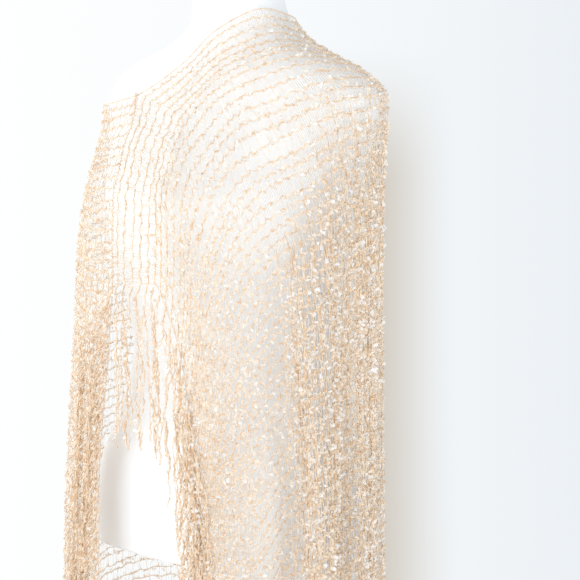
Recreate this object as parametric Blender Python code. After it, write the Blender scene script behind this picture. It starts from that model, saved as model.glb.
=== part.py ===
"""A net poncho scarf with fringed ends, worn on a limbless dress form with a pole and a round base.

The cloth is one long rectangle of openwork. Half of one short end is sewn to the long edge beside
the other short end, so that the cloth closes into a loop: it runs over the near shoulder, round
the back, under the bare far shoulder and back to the front. Here it is made as two stretches that
meet along the near side, each a thin wall, with a fringe strip on each free short end.

Metres, +Z up. The form faces -Y and the covered shoulder is at +X. The origin is on the floor,
under the pole.
"""
import math

import bpy
import bmesh
import numpy as np

for old in list(bpy.data.objects):
    bpy.data.objects.remove(old, do_unlink=True)

# Stand
BASE_RADIUS = 0.165
BASE_THICKNESS = 0.010
BASE_EDGE = 0.002
BASE_SIDES = 48
POLE_RADIUS = 0.0125
POLE_SIDES = 24
FIT_GAP = 0.0003

# Dress form
NECK_TOP = 1.450
LOFT_FOOT = 0.687
FORM_BOTTOM = 0.728
BOTTOM_RISE = 0.27
FORM_AROUND = 44
FORM_LEVELS = 34

# Cloth: one rectangle, its rows running along the long side
CLOTH_WIDTH = 0.71
SEAM_LENGTH = 0.21
WALL = 0.002
SEAM_PART = 0.00025
SEAM_STEPS = 9
LOWER_STEPS = 15
NECK_STEPS = 15
BACK_STEPS = 32
SOFTENING = 0.30
SOFT_ENDS = 0.25
CORNER_REACH = 0.16
TURN_FADE = 0.17
HEIGHT_FADE = 1.2
ROW_LIFT = 0.048
FOLD_RUN = 0.42

# Fringe: the ends of the row yarns, hanging from a narrow strip along each free short end
FRINGE_LENGTH = 0.175
STRAND_PITCH = 0.014
STRAND_RADIUS = 0.0013
TIP_TAPER = 0.6
FIRST_STRAND = 0.75
STRIP_GAP = 0.0004
STRIP_WIDTH = 0.004
STRIP_HALF_THICK = 0.0008
STRIP_INSET = 0.007
CLEAR_OF_CLOTH = 0.0048
LEAVING = 0.05
NEAR_END = 0.985
LEAN_STARTS = 0.06
LEAN_RUN = 0.12
OVER_CLOTH = 0.026
BESIDE_CLOTH = 0.020
KICK = 0.003
BACK_LEAN = 0.048
DROPS = (0.0, 0.05, 0.12, 0.30, 0.55, 0.78, 1.0)

# The dress form by height: reach to the near side, the far side, the front and the back, squareness
FORM = (
    ("height", "near", "far", "front", "back", "power"),
    (0.690, 0.144, 0.181, 0.102, 0.099, 2.2),
    (0.730, 0.147, 0.187, 0.107, 0.100, 2.2),
    (0.780, 0.150, 0.190, 0.112, 0.101, 2.2),
    (0.850, 0.143, 0.172, 0.116, 0.092, 2.2),
    (0.920, 0.128, 0.140, 0.106, 0.080, 2.1),
    (0.980, 0.120, 0.124, 0.102, 0.074, 2.1),
    (1.040, 0.125, 0.127, 0.116, 0.082, 2.1),
    (1.100, 0.138, 0.138, 0.138, 0.092, 2.1),
    (1.140, 0.146, 0.146, 0.138, 0.096, 2.1),
    (1.190, 0.158, 0.158, 0.112, 0.092, 2.1),
    (1.225, 0.171, 0.164, 0.088, 0.082, 2.2),
    (1.255, 0.174, 0.171, 0.074, 0.074, 2.3),
    (1.280, 0.158, 0.162, 0.064, 0.066, 2.2),
    (1.300, 0.116, 0.130, 0.056, 0.062, 2.1),
    (1.320, 0.080, 0.077, 0.050, 0.060, 2.0),
    (1.340, 0.060, 0.053, 0.045, 0.058, 2.0),
    (1.370, 0.049, 0.050, 0.043, 0.058, 2.0),
    (1.410, 0.049, 0.049, 0.042, 0.058, 2.0),
    (1.460, 0.049, 0.049, 0.042, 0.058, 2.0),
)

# The cloth round it, in the same way
CLOTH = (
    ("height", "near", "far", "front", "back", "power"),
    (0.300, 0.172, 0.226, 0.150, 0.118, 2.0),
    (0.560, 0.172, 0.223, 0.150, 0.120, 2.0),
    (0.760, 0.173, 0.217, 0.149, 0.122, 2.0),
    (0.960, 0.173, 0.206, 0.148, 0.116, 2.0),
    (1.100, 0.175, 0.194, 0.149, 0.112, 2.0),
    (1.150, 0.176, 0.183, 0.147, 0.108, 2.0),
    (1.200, 0.178, 0.173, 0.120, 0.102, 2.1),
    (1.230, 0.181, 0.172, 0.096, 0.092, 2.2),
    (1.258, 0.181, 0.176, 0.081, 0.081, 2.3),
    (1.284, 0.156, 0.166, 0.070, 0.072, 2.2),
    (1.304, 0.1145, 0.133, 0.061, 0.067, 2.1),
    (1.324, 0.080, 0.084, 0.056, 0.066, 2.0),
    (1.344, 0.064, 0.060, 0.051, 0.064, 2.0),
    (1.374, 0.058, 0.056, 0.049, 0.064, 2.0),
    (1.460, 0.056, 0.055, 0.048, 0.064, 2.0),
)

# Vertical folds: where round the body, half-width, depth at the bottom, where each dies out
FOLDS = (
    ("turn", "spread", "depth", "starts"),
    (-34.0, 5.5, -0.020, 1.12),
    (-22.0, 5.5, 0.010, 1.16),
    (-11.0, 5.0, -0.012, 1.20),
    (0.0, 5.5, 0.006, 1.18),
    (11.0, 5.0, -0.011, 1.20),
    (22.0, 5.5, 0.005, 1.14),
    (36.0, 7.0, -0.008, 1.08),
    (60.0, 8.0, 0.010, 1.05),
    (84.0, 8.0, -0.009, 1.00),
    (108.0, 8.0, 0.009, 1.05),
    (134.0, 8.0, -0.009, 1.02),
    (160.0, 8.0, 0.009, 1.06),
    (184.0, 7.0, -0.010, 1.10),
    (206.0, 6.0, 0.010, 1.12),
    (-58.0, 7.0, 0.008, 0.96),
)

# Neckline over the front, from the near shoulder to the knot: share of the way, turn, height
FRONT_NECKLINE = (
    ("share", "turn", "height"),
    (0.00, 360.0, 1.346),
    (0.13, 338.0, 1.350),
    (0.40, 285.0, 1.328),
    (0.52, 266.0, 1.312),
    (0.77, 243.0, 1.284),
    (1.00, 223.0, 1.260),
)

# Neckline over the back, from the near shoulder to the knot
BACK_NECKLINE = (
    ("share", "turn", "height"),
    (0.00, 0.0, 1.346),
    (0.15, 50.0, 1.338),
    (0.35, 96.0, 1.308),
    (0.60, 146.0, 1.270),
    (0.80, 180.0, 1.250),
    (0.92, 204.0, 1.252),
    (1.00, 223.0, 1.260),
)

# Seam from the knot down to where the two short ends part
SEAM = (
    ("share", "turn", "height"),
    (0.00, 223.0, 1.260),
    (0.20, 232.0, 1.222),
    (0.48, 246.0, 1.168),
    (0.65, 248.0, 1.134),
    (1.00, 248.0, 1.066),
)

# Short end of the front, from the foot of the seam to the lowest corner, by the cloth above it
FRONT_END = (
    ("across", "turn", "height"),
    (0.00, 248.0, 1.066),
    (0.07, 272.0, 1.066),
    (0.11, 278.5, 1.036),
    (0.15, 283.5, 1.000),
    (0.24, 288.5, 0.915),
    (0.42, 292.0, 0.750),
    (0.71, 295.0, 0.470),
)

# Short end of the back below the seam
BACK_END = (
    ("across", "turn", "height"),
    (0.21, 248.0, 1.066),
    (0.30, 243.5, 0.980),
    (0.45, 236.5, 0.836),
    (0.56, 236.0, 0.730),
    (0.71, 238.0, 0.590),
)

# Line over the near shoulder and down the near side, by the width of cloth above it
NEAR_LINE = (
    ("across", "height"),
    (0.00, 1.346),
    (0.03, 1.322),
    (0.08, 1.297),
    (0.12, 1.276),
    (0.15, 1.250),
    (0.71, 0.700),
)

# Hems, from the near side to each lowest corner
FRONT_HEM = (
    ("share", "turn", "height"),
    (0.0, 360.0, 0.700),
    (0.5, 324.0, 0.600),
    (1.0, 295.0, 0.470),
)
BACK_HEM = (
    ("share", "turn", "height"),
    (0.0, 0.0, 0.700),
    (0.5, 116.0, 0.640),
    (1.0, 238.0, 0.590),
)


def read_table(table, at):
    """The other columns of a table, smoothly between its rows, at a value of the first column."""
    rows = np.array(table[1:], float)
    place = rows[:, 0]
    at = min(max(at, place[0]), place[-1])
    step = np.diff(place)
    rise = np.diff(rows[:, 1:], axis=0) / step[:, None]
    slope = np.zeros_like(rows[:, 1:])
    slope[0], slope[-1] = rise[0], rise[-1]
    level = rise[:-1] * rise[1:] <= 0.0
    total = np.where(level, 1.0, rise[:-1] + rise[1:])
    slope[1:-1] = np.where(level, 0.0, 2.0 * rise[:-1] * rise[1:] / total)
    i = min(int(np.searchsorted(place, at, side="right")) - 1, len(step) - 1)
    t = (at - place[i]) / step[i]
    start = (1 + 2 * t) * (1 - t) ** 2 * rows[i, 1:] + t * (1 - t) ** 2 * step[i] * slope[i]
    return start + t * t * (3 - 2 * t) * rows[i + 1, 1:] - t * t * (1 - t) * step[i] * slope[i + 1]


def oval(turn, to_side, to_depth, power):
    """Radius of a squared oval in one direction."""
    across = abs(math.cos(turn)) / to_side
    along = abs(math.sin(turn)) / to_depth
    return (across ** power + along ** power) ** (-1.0 / power)


def section_radius(table, turn, height):
    """Radius of a level section through the form or the cloth."""
    near, far, front, back, power = read_table(table, height)
    to_side = near if math.cos(turn) > 0 else far
    to_depth = back if math.sin(turn) > 0 else front
    return oval(turn, to_side, to_depth, power)


def smooth_step(value):
    value = min(max(value, 0.0), 1.0)
    return value * value * (3.0 - 2.0 * value)


def fold_depth(turn, height):
    """How far the folds push the cloth in or out."""
    depth = 0.0
    for centre, spread, deepest, starts in FOLDS[1:]:
        away = (math.degrees(turn) - centre + 180.0) % 360.0 - 180.0
        fallen = smooth_step((starts - height) / FOLD_RUN)
        depth += deepest * fallen * math.exp(-(away / spread) ** 2)
    return depth


def cloth_point(turn_degrees, height, out=0.0):
    """A point in the middle of the cloth's thickness, or moved out from it."""
    turn = math.radians(turn_degrees)
    radius = section_radius(CLOTH, turn, height) + fold_depth(turn, height) + out
    return np.array((radius * math.cos(turn), radius * math.sin(turn), height))


def cloth_normal(turn_degrees, height):
    """Direction straight out of the cloth, the same for both stretches where they meet."""
    round_it = cloth_point(turn_degrees + 0.5, height) - cloth_point(turn_degrees - 0.5, height)
    up_it = cloth_point(turn_degrees, height + 0.002) - cloth_point(turn_degrees, height - 0.002)
    normal = np.cross(round_it, up_it)
    return normal / np.linalg.norm(normal)


def steps(first, last, count):
    return [first + (last - first) * i / count for i in range(count + 1)]


def front_top(share):
    """The front's long top edge: along the neckline, then down the seam."""
    knot = NECK_STEPS / (NECK_STEPS + SEAM_STEPS)
    if share <= knot:
        return read_table(FRONT_NECKLINE, share / knot)
    return read_table(SEAM, (share - knot) / (1.0 - knot))


def softened_top(share):
    """The same edge with its corner rounded off, for the rows that lie further in."""
    near = [front_top(min(max(share + SOFTENING * k / 4.0, 0.0), 1.0)) for k in range(-4, 5)]
    ends = smooth_step(min(share, 1.0 - share) / SOFT_ENDS)
    return front_top(share) * (1.0 - ends) + np.mean(near, axis=0) * ends


def front_hem(share):
    return read_table(FRONT_HEM, share)


def back_top(share):
    return read_table(BACK_NECKLINE, share)


def back_hem(share):
    return read_table(BACK_HEM, share)


def near_line(across):
    return read_table(NEAR_LINE, across)[0]


def back_end(across):
    if across <= SEAM_LENGTH:
        return read_table(SEAM, across / SEAM_LENGTH)
    return read_table(BACK_END, across)


def bow(edge, share):
    """How far an edge bows away from the straight line between its ends."""
    return edge(share) - edge(0.0) * (1.0 - share) - edge(1.0) * share


def row_lift(share, down):
    """Rows of the front stay high and then fall steeply to the short end, most of all half-way down."""
    hump = share * share * (1.0 - share) * 27.0 / 4.0
    return np.array((0.0, ROW_LIFT * hump * math.sin(math.pi * down)))


def front_place(share, across):
    """Turn and height on the front stretch, from how far along a row and how far across the rows."""
    down = across / CLOTH_WIDTH
    inward = smooth_step(across / CORNER_REACH)
    near_edge = np.array((360.0, near_line(across)))
    straight = near_edge * (1.0 - share) + read_table(FRONT_END, across) * share
    top_bow = bow(front_top, share) * (1.0 - inward) + bow(softened_top, share) * inward
    fading = np.array((math.exp(-across / TURN_FADE), (1.0 - down) * math.exp(-across / HEIGHT_FADE)))
    lowered = straight + top_bow * fading + bow(front_hem, share) * down * down
    return lowered + row_lift(share, down)


def back_place(share, across):
    """Turn and height on the back stretch."""
    down = across / CLOTH_WIDTH
    near_edge = np.array((0.0, near_line(across)))
    straight = near_edge * (1.0 - share) + back_end(across) * share
    return straight + bow(back_top, share) * (1.0 - down) + bow(back_hem, share) * down


def paint(name, colour, roughness, metallic=0.0):
    material = bpy.data.materials.new(name)
    material.use_nodes = True
    shader = material.node_tree.nodes["Principled BSDF"]
    shader.inputs["Base Color"].default_value = (*colour, 1.0)
    shader.inputs["Roughness"].default_value = roughness
    shader.inputs["Metallic"].default_value = metallic
    return material


def add_object(name, mesh_tool, material):
    """One named object from a finished bmesh."""
    mesh = bpy.data.meshes.new(name)
    mesh_tool.to_mesh(mesh)
    mesh_tool.free()
    mesh.shade_smooth()
    mesh.materials.append(material)
    item = bpy.data.objects.new(name, mesh)
    bpy.context.scene.collection.objects.link(item)
    return item


def loft(tool, rings, closed):
    """Faces between rings of points, row by row."""
    lines = [[tool.verts.new(point) for point in ring] for ring in rings]
    count = len(lines[0])
    for upper, lower in zip(lines, lines[1:]):
        for i in range(count if closed else count - 1):
            j = (i + 1) % count
            tool.faces.new((upper[i], upper[j], lower[j], lower[i]))
    return lines


def pull_in(grid, row, column, row_in, column_in, amount):
    """Move one edge point of a grid towards the cloth's inside."""
    inward = grid[row_in][column_in] - grid[row][column]
    grid[row][column] = grid[row][column] + inward * (amount / np.linalg.norm(inward))


def part_edges(grid, seam_on_top):
    """Open the cloth by a hair along the near line and the seam, where the two stretches meet."""
    last = len(grid[0]) - 1
    for row in range(len(grid)):
        pull_in(grid, row, 0, row, 1, SEAM_PART)
    if seam_on_top:
        for column in range(NECK_STEPS, last + 1):
            pull_in(grid, 0, column, 1, column, SEAM_PART)
    else:
        for row in range(SEAM_STEPS + 1):
            pull_in(grid, row, last, row, last - 1, SEAM_PART)


def across_steps():
    return steps(0.0, SEAM_LENGTH, SEAM_STEPS) + steps(SEAM_LENGTH, CLOTH_WIDTH, LOWER_STEPS)[1:]


def make_wall(name, place, along, seam_on_top, material):
    """A stretch of cloth: an outer and an inner face through its rows, closed round all four edges."""
    places = [[place(share, across) for share in along] for across in across_steps()]
    middle = [[cloth_point(*spot) for spot in row] for row in places]
    part_edges(middle, seam_on_top)
    half = [[cloth_normal(*spot) * (WALL / 2.0) for spot in row] for row in places]
    tool = bmesh.new()
    outer = [[tool.verts.new(p + n) for p, n in zip(*rows)] for rows in zip(middle, half)]
    inner = [[tool.verts.new(p - n) for p, n in zip(*rows)] for rows in zip(middle, half)]
    for face in (outer, inner):
        for upper, lower in zip(face, face[1:]):
            for i in range(len(upper) - 1):
                tool.faces.new((upper[i], upper[i + 1], lower[i + 1], lower[i]))
    for edge in (lambda face: face[0], lambda face: face[-1],
                 lambda face: [row[0] for row in face], lambda face: [row[-1] for row in face]):
        over, under = edge(outer), edge(inner)
        for i in range(len(over) - 1):
            tool.faces.new((over[i], over[i + 1], under[i + 1], under[i]))
    bmesh.ops.recalc_face_normals(tool, faces=tool.faces)
    return add_object(name, tool, material)


def make_form(material):
    """The torso, lofted through level sections, its bottom cut off on a slant that rises to the front."""
    rings = []
    for height in steps(NECK_TOP, LOFT_FOOT, FORM_LEVELS):
        turns = steps(0.0, 2.0 * math.pi, FORM_AROUND)[:-1]
        radii = [section_radius(FORM, turn, height) for turn in turns]
        rings.append([(r * math.cos(a), r * math.sin(a), height) for r, a in zip(radii, turns)])
    tool = bmesh.new()
    lines = loft(tool, rings, closed=True)
    tool.faces.new(lines[0])
    tool.faces.new(lines[-1])
    cut_off(tool, FORM_BOTTOM, (0.0, -BOTTOM_RISE, -1.0))
    bmesh.ops.recalc_face_normals(tool, faces=tool.faces)
    return add_object("form_torso", tool, material)


def cut_off(tool, height, outward):
    """Slice with a plane through a point of the pole's axis, drop what is beyond it and close the cut."""
    everything = tool.verts[:] + tool.edges[:] + tool.faces[:]
    point = (0.0, 0.0, height)
    result = bmesh.ops.bisect_plane(tool, geom=everything, plane_co=point, plane_no=outward, clear_outer=True)
    rim = [item for item in result["geom_cut"] if isinstance(item, bmesh.types.BMEdge)]
    bmesh.ops.edgeloop_fill(tool, edges=rim)


def round_bar(radius, bottom, top, sides):
    """A round bar or plate standing on end, as a bmesh."""
    tool = bmesh.new()
    made = bmesh.ops.create_cone(tool, cap_ends=True, segments=sides, radius1=radius, radius2=radius,
                                 depth=top - bottom)
    bmesh.ops.translate(tool, verts=made["verts"], vec=(0.0, 0.0, (top + bottom) / 2.0))
    return tool


def make_pole(material):
    """The pole, its top cut on the form's slant and a hair below it."""
    seat = FORM_BOTTOM - FIT_GAP
    tool = round_bar(POLE_RADIUS, BASE_THICKNESS + FIT_GAP, seat + POLE_RADIUS, POLE_SIDES)
    cut_off(tool, seat, (0.0, BOTTOM_RISE, 1.0))
    item = add_object("stand_pole", tool, material)
    item.data.set_sharp_from_angle(angle=math.radians(40))
    return item


def make_base(material):
    """The round base, its rims eased."""
    tool = round_bar(BASE_RADIUS, 0.0, BASE_THICKNESS, BASE_SIDES)
    rims = [e for e in tool.edges if abs(e.verts[0].co.z - e.verts[1].co.z) < BASE_EDGE / 2.0]
    bmesh.ops.bevel(tool, geom=rims, offset=BASE_EDGE, segments=2, profile=0.5, affect="EDGES", material=-1)
    item = add_object("stand_base", tool, material)
    item.data.set_sharp_from_angle(angle=math.radians(40))
    return item


def outline_of(end_place):
    """A free short end as points, with the way out of the cloth at each."""
    samples = across_steps()
    points = [cloth_point(*end_place(1.0, across)) for across in samples]
    before = [cloth_point(*end_place(NEAR_END, across)) for across in samples]
    ways = []
    for i, point in enumerate(points):
        along = points[min(i + 1, len(points) - 1)] - points[max(i - 1, 0)]
        along = along / np.linalg.norm(along)
        outward = point - before[i]
        outward = outward - along * float(outward @ along)
        ways.append(outward / np.linalg.norm(outward))
    return samples, points, ways


def between(samples, values, at):
    """A value part-way along the short end."""
    i = min(max(int(np.searchsorted(samples, at)) - 1, 0), len(samples) - 2)
    t = (at - samples[i]) / (samples[i + 1] - samples[i])
    return values[i] * (1.0 - t) + values[i + 1] * t


def radial(point):
    """Level direction away from the pole."""
    return np.array((point[0], point[1], 0.0)) / math.hypot(point[0], point[1])


def add_tube(tool, rings):
    """A closed solid through rings of points."""
    lines = loft(tool, rings, closed=True)
    tool.faces.new(lines[0])
    tool.faces.new(lines[-1])


def strand_rings(root, side, spread, kick):
    """Three-sided rings down one strand: out of the strip, then straight down with a slight lean."""
    turn = math.degrees(math.atan2(root[1], root[0]))
    rings = []
    for drop in DROPS:
        leaves = smooth_step(drop / LEAVING)
        leant = side * spread * max(drop - LEAVING, 0.0) / (1.0 - LEAVING)
        sideways = math.degrees((leant + kick * leaves) / math.hypot(root[0], root[1]))
        height = root[2] - drop * FRINGE_LENGTH
        here = cloth_point(turn + sideways, height, CLEAR_OF_CLOTH * leaves)
        if drop == 0.0:
            here = root
        radius = STRAND_RADIUS * (1.0 if drop < 1.0 else TIP_TAPER)
        corners = [math.radians(turn + 120.0 * k) for k in range(3)]
        rings.append([here + radius * np.array((math.cos(a), math.sin(a), 0.0)) for a in corners])
    return rings


def make_fringe(name, place, first, last, lean, material):
    """A strip along a short end with the yarn ends hanging from it, fused at their roots."""
    samples, points, ways = outline_of(place)
    tool = bmesh.new()
    rings = []
    start = first + STRIP_INSET
    for across in [start] + [sample for sample in samples if sample > start]:
        point, way = between(samples, points, across), between(samples, ways, across)
        near_side = point + way * STRIP_GAP
        far_side = point + way * (STRIP_GAP + STRIP_WIDTH)
        thick = radial(point) * STRIP_HALF_THICK
        rings.append([near_side - thick, far_side - thick, far_side + thick, near_side + thick])
    add_tube(tool, rings)
    bmesh.ops.recalc_face_normals(tool, faces=tool.faces)
    strip = add_object(name, tool, material)
    strands = bmesh.new()
    count = int((last - first) / STRAND_PITCH)
    for k in range(count):
        across = first + STRAND_PITCH * (k + FIRST_STRAND)
        way = between(samples, ways, across)
        root = between(samples, points, across) + way * (STRIP_GAP + STRIP_WIDTH / 2.0)
        side, spread, kick = lean(across, k)
        add_tube(strands, strand_rings(root, side, spread, kick))
    bmesh.ops.recalc_face_normals(strands, faces=strands.faces)
    guide = add_object(name + "_strands", strands, material)
    guide.hide_render = True
    guide.display_type = "WIRE"
    fuse = strip.modifiers.new("fused roots", "BOOLEAN")
    fuse.operation = "UNION"
    fuse.solver = "EXACT"
    fuse.object = guide
    return strip


def front_lean(across, k):
    """Strands of the front fall by turns over the cloth's face and beside the edge."""
    steep = smooth_step((across - LEAN_STARTS) / LEAN_RUN)
    if k % 2:
        return 1.0, OVER_CLOTH * steep, 0.0
    return -1.0, BESIDE_CLOTH * steep, -KICK * steep


def back_lean(across, k):
    """Strands of the back all fall over the cloth's face, away from the opening."""
    return -1.0, BACK_LEAN, 0.0


cloth_paint = paint("cream and gold ribbon yarn", (0.80, 0.62, 0.42), 0.6)
fringe_paint = paint("cream and gold yarn ends", (0.82, 0.64, 0.44), 0.6)
form_paint = paint("matt white moulded form", (0.86, 0.86, 0.86), 0.5)
metal_paint = paint("white painted steel", (0.80, 0.80, 0.80), 0.35, 0.0)

make_form(form_paint)
make_pole(metal_paint)
make_base(metal_paint)

make_wall("front_stretch", front_place, steps(0.0, 1.0, NECK_STEPS + SEAM_STEPS), True, cloth_paint)
make_wall("back_stretch", back_place, steps(0.0, 1.0, BACK_STEPS), False, cloth_paint)
make_fringe("front_fringe", front_place, 0.0, CLOTH_WIDTH, front_lean, fringe_paint)
make_fringe("back_fringe", back_place, SEAM_LENGTH, CLOTH_WIDTH, back_lean, fringe_paint)
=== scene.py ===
"""A net poncho scarf of gold and cream ribbon yarn, worn over one shoulder of a white limbless dress form.

Metres, +Z up. The form faces -Y, the covered shoulder is at +X and the floor is at Z = 0.
"""
import math

import bmesh
import bpy
import numpy as np
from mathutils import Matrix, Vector


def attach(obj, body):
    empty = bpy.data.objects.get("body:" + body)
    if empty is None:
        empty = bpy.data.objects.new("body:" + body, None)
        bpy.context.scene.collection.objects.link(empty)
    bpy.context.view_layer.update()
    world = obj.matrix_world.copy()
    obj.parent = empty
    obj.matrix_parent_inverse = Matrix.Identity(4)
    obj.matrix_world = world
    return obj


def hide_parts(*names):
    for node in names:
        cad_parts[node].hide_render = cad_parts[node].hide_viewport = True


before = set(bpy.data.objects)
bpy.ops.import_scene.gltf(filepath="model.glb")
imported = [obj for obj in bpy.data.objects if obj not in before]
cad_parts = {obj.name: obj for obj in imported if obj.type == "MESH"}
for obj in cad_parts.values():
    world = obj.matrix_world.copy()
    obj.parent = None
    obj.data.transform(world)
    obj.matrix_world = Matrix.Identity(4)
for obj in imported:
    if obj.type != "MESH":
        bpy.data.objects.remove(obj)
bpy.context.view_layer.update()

# Camera: a close view from the form's front, a little towards the covered side and slightly above.
# It frames the chest and the hip as the photograph does, 650 mm across at the form.
IMAGE_SIZE = 580
FORM_AXIS_PIXEL = 238
LENS = 85.0
SENSOR = 36.0
VIEW_TURN = math.radians(35.0)
VIEW_DROP = math.radians(7.0)
VIEW_DISTANCE = 1.53
LOOK_HEIGHT = 1.045

forward = Vector((-math.sin(VIEW_TURN) * math.cos(VIEW_DROP), math.cos(VIEW_TURN) * math.cos(VIEW_DROP),
                  -math.sin(VIEW_DROP)))
rightward = Vector((math.cos(VIEW_TURN), math.sin(VIEW_TURN), 0.0))
metres_per_pixel = VIEW_DISTANCE * SENSOR / LENS / IMAGE_SIZE
aim = Vector((0.0, 0.0, LOOK_HEIGHT)) + rightward * ((IMAGE_SIZE / 2 - FORM_AXIS_PIXEL) * metres_per_pixel)
camera_data = bpy.data.cameras.new("camera")
camera_data.lens = LENS
camera_data.sensor_width = SENSOR
camera = bpy.data.objects.new("camera", camera_data)
camera.location = aim - forward * VIEW_DISTANCE
camera.rotation_euler = forward.to_track_quat("-Z", "Y").to_euler()
bpy.context.scene.collection.objects.link(camera)
bpy.context.scene.camera = camera


# Studio: a plain pale floor and a near-white surround, brighter beyond the picture on the left, dimmer
# overhead and a little darker towards the right, where a soft shadow of the garment is painted into the
# surround as if on a wall. One large soft lamp stands high on the left, a low one fills in under it and
# a third lights the covered side. The plain tone curve keeps whites clean.
FLOOR_RADIUS = 1.9
FLOOR_SIDES = 96
SURROUND_STOPS = ((0.0, "FEFFFF"), (0.45, "F8FBFD"), (1.0, "EAEFF3"))
SHADOW = "D2CBC0"
SURROUND_GLOW = 1.65
OVERHEAD = 0.64
# Where each change in the surround starts and where it is full, by how much of a direction points to
# the right of the picture, or up. The painted shadow of the garment is kept to what lies ahead.
TINT_SPAN = (-0.20, 0.24)
GLOW_SPAN = (-0.55, -0.24)
OVERHEAD_SPAN = (0.2, 0.6)
SHADOW_EDGE = (0.125, 0.055)
SHADOW_START = (-0.02, 0.02)
SHADOW_TOP = (0.06, -0.05)
SHADOW_AHEAD = 0.93
# Each lamp: name, size, power, the height that it looks at, then how far it stands to the right, to
# the viewer and above that height
LAMPS = (
    ("large soft lamp", 1.1, 3.9, 1.0, -1.25, 0.75, 1.15),
    ("low left fill", 0.9, 2.3, 0.82, -0.55, 1.15, -0.20),
    ("right fill", 0.9, 6.8, 0.95, 1.10, 1.00, -0.05),
)


def linear(hex_colour):
    """An sRGB hex colour as linear values with full opacity."""
    parts = [int(hex_colour[i:i + 2], 16) / 255.0 for i in (0, 2, 4)]
    return (*[c / 12.92 if c <= 0.04045 else ((c + 0.055) / 1.055) ** 2.4 for c in parts], 1.0)


def add_node(tree, kind, inputs=None, **settings):
    """One node with its settings; an input is a plain value or the socket that feeds it."""
    made = tree.nodes.new(kind)
    for name, value in settings.items():
        setattr(made, name, value)
    for key, value in (inputs or {}).items():
        if isinstance(value, bpy.types.NodeSocket):
            tree.links.new(value, made.inputs[key])
        else:
            made.inputs[key].default_value = value
    return made


def add_ramp(tree, factor, stops):
    """A colour ramp from places along it to hex colours."""
    ramp = add_node(tree, "ShaderNodeValToRGB", {"Fac": factor})
    marks = ramp.color_ramp.elements
    while len(marks) < len(stops):
        marks.new(0.5)
    for mark, (place, colour) in zip(marks, stops):
        mark.position = place
        mark.color = linear(colour)
    return ramp.outputs["Color"]


def coordinates(tree, kind):
    """Texture coordinates of one kind."""
    return add_node(tree, "ShaderNodeTexCoord").outputs[kind]


def mapped(tree, value, span, low=0.0, high=1.0, kind="LINEAR"):
    """A value that goes from low to high over a span of another one, and is held beyond it."""
    inputs = {"Value": value, "From Min": span[0], "From Max": span[1], "To Min": low, "To Max": high}
    return add_node(tree, "ShaderNodeMapRange", inputs, interpolation_type=kind).outputs["Result"]


def product(tree, first, second):
    """One value times another."""
    made = add_node(tree, "ShaderNodeMath", {0: first, 1: second}, operation="MULTIPLY")
    return made.outputs["Value"]


def share_of(tree, direction, way):
    """How much of a direction points one way."""
    made = add_node(tree, "ShaderNodeVectorMath", {0: direction, 1: tuple(way)}, operation="DOT_PRODUCT")
    return made.outputs["Value"]


def noise(tree, place, scale, detail):
    """A soft random pattern over a place."""
    inputs = {"Vector": place, "Scale": scale, "Detail": detail}
    return add_node(tree, "ShaderNodeTexNoise", inputs).outputs["Fac"]


def add_colour(tree, shader, factor, stops):
    """A surface's colour, by a factor along a ramp."""
    tree.links.new(add_ramp(tree, factor, stops), shader.inputs["Base Color"])


def add_grain(tree, shader, height, strength, depth):
    """Fine bumps in a surface, from a height of 0 to 1."""
    inputs = {"Height": height, "Strength": strength, "Distance": depth}
    bump = add_node(tree, "ShaderNodeBump", inputs)
    tree.links.new(bump.outputs["Normal"], shader.inputs["Normal"])


def new_material(name, roughness):
    """A named material, its node tree and its shader."""
    material = bpy.data.materials.new(name)
    material.use_nodes = True
    shader = material.node_tree.nodes["Principled BSDF"]
    shader.inputs["Roughness"].default_value = roughness
    return material, material.node_tree, shader


def new_object(name, mesh, material):
    """A finished mesh as an object at the origin."""
    mesh.materials.clear()
    mesh.materials.append(material)
    made = bpy.data.objects.new(name, mesh)
    bpy.context.scene.collection.objects.link(made)
    return made


def from_bmesh(name, tool, material):
    """A smooth object from a bmesh, which is freed."""
    mesh = bpy.data.meshes.new(name)
    tool.to_mesh(mesh)
    tool.free()
    mesh.shade_smooth()
    return new_object(name, mesh, material)


def wear(piece, slot, *nodes):
    """The piece rides on the form's one body and stands for these solids, which are hidden; slot is not
    used.
    """
    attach(piece, "root")
    if nodes:
        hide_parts(*nodes)


# Matt emulsion on a studio floor: flat, with a faint cloudiness.
floor_paint, tree, shader = new_material("matt white floor paint", 0.85)
cloud = noise(tree, coordinates(tree, "Object"), scale=2.0, detail=3.0)
add_colour(tree, shader, cloud, [(0.35, "ECEDEE"), (0.65, "F3F4F5")])
tool = bmesh.new()
bmesh.ops.create_circle(tool, cap_ends=True, segments=FLOOR_SIDES, radius=FLOOR_RADIUS)
floor = from_bmesh("studio_floor", tool, floor_paint)

world = bpy.data.worlds.new("studio surround")
world.use_nodes = True
bpy.context.scene.world = world
tree = world.node_tree
direction = coordinates(tree, "Generated")
tall = add_node(tree, "ShaderNodeSeparateXYZ", {"Vector": direction}).outputs["Z"]
sideways = share_of(tree, direction, rightward)
ahead = share_of(tree, direction, forward)
tint = add_ramp(tree, mapped(tree, sideways, TINT_SPAN), SURROUND_STOPS)
# Painted shadow of the garment in the surround: its colour is mixed towards SHADOW in a band right of the
# form, below a height, and only in directions close to the picture's own
shade = product(tree, mapped(tree, sideways, SHADOW_EDGE, kind="SMOOTHSTEP"),
                mapped(tree, tall, SHADOW_TOP, kind="SMOOTHSTEP"))
in_view = add_node(tree, "ShaderNodeMath", {0: ahead, 1: SHADOW_AHEAD}, operation="GREATER_THAN")
for limit in (mapped(tree, sideways, SHADOW_START), in_view.outputs["Value"]):
    shade = product(tree, shade, limit)
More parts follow.
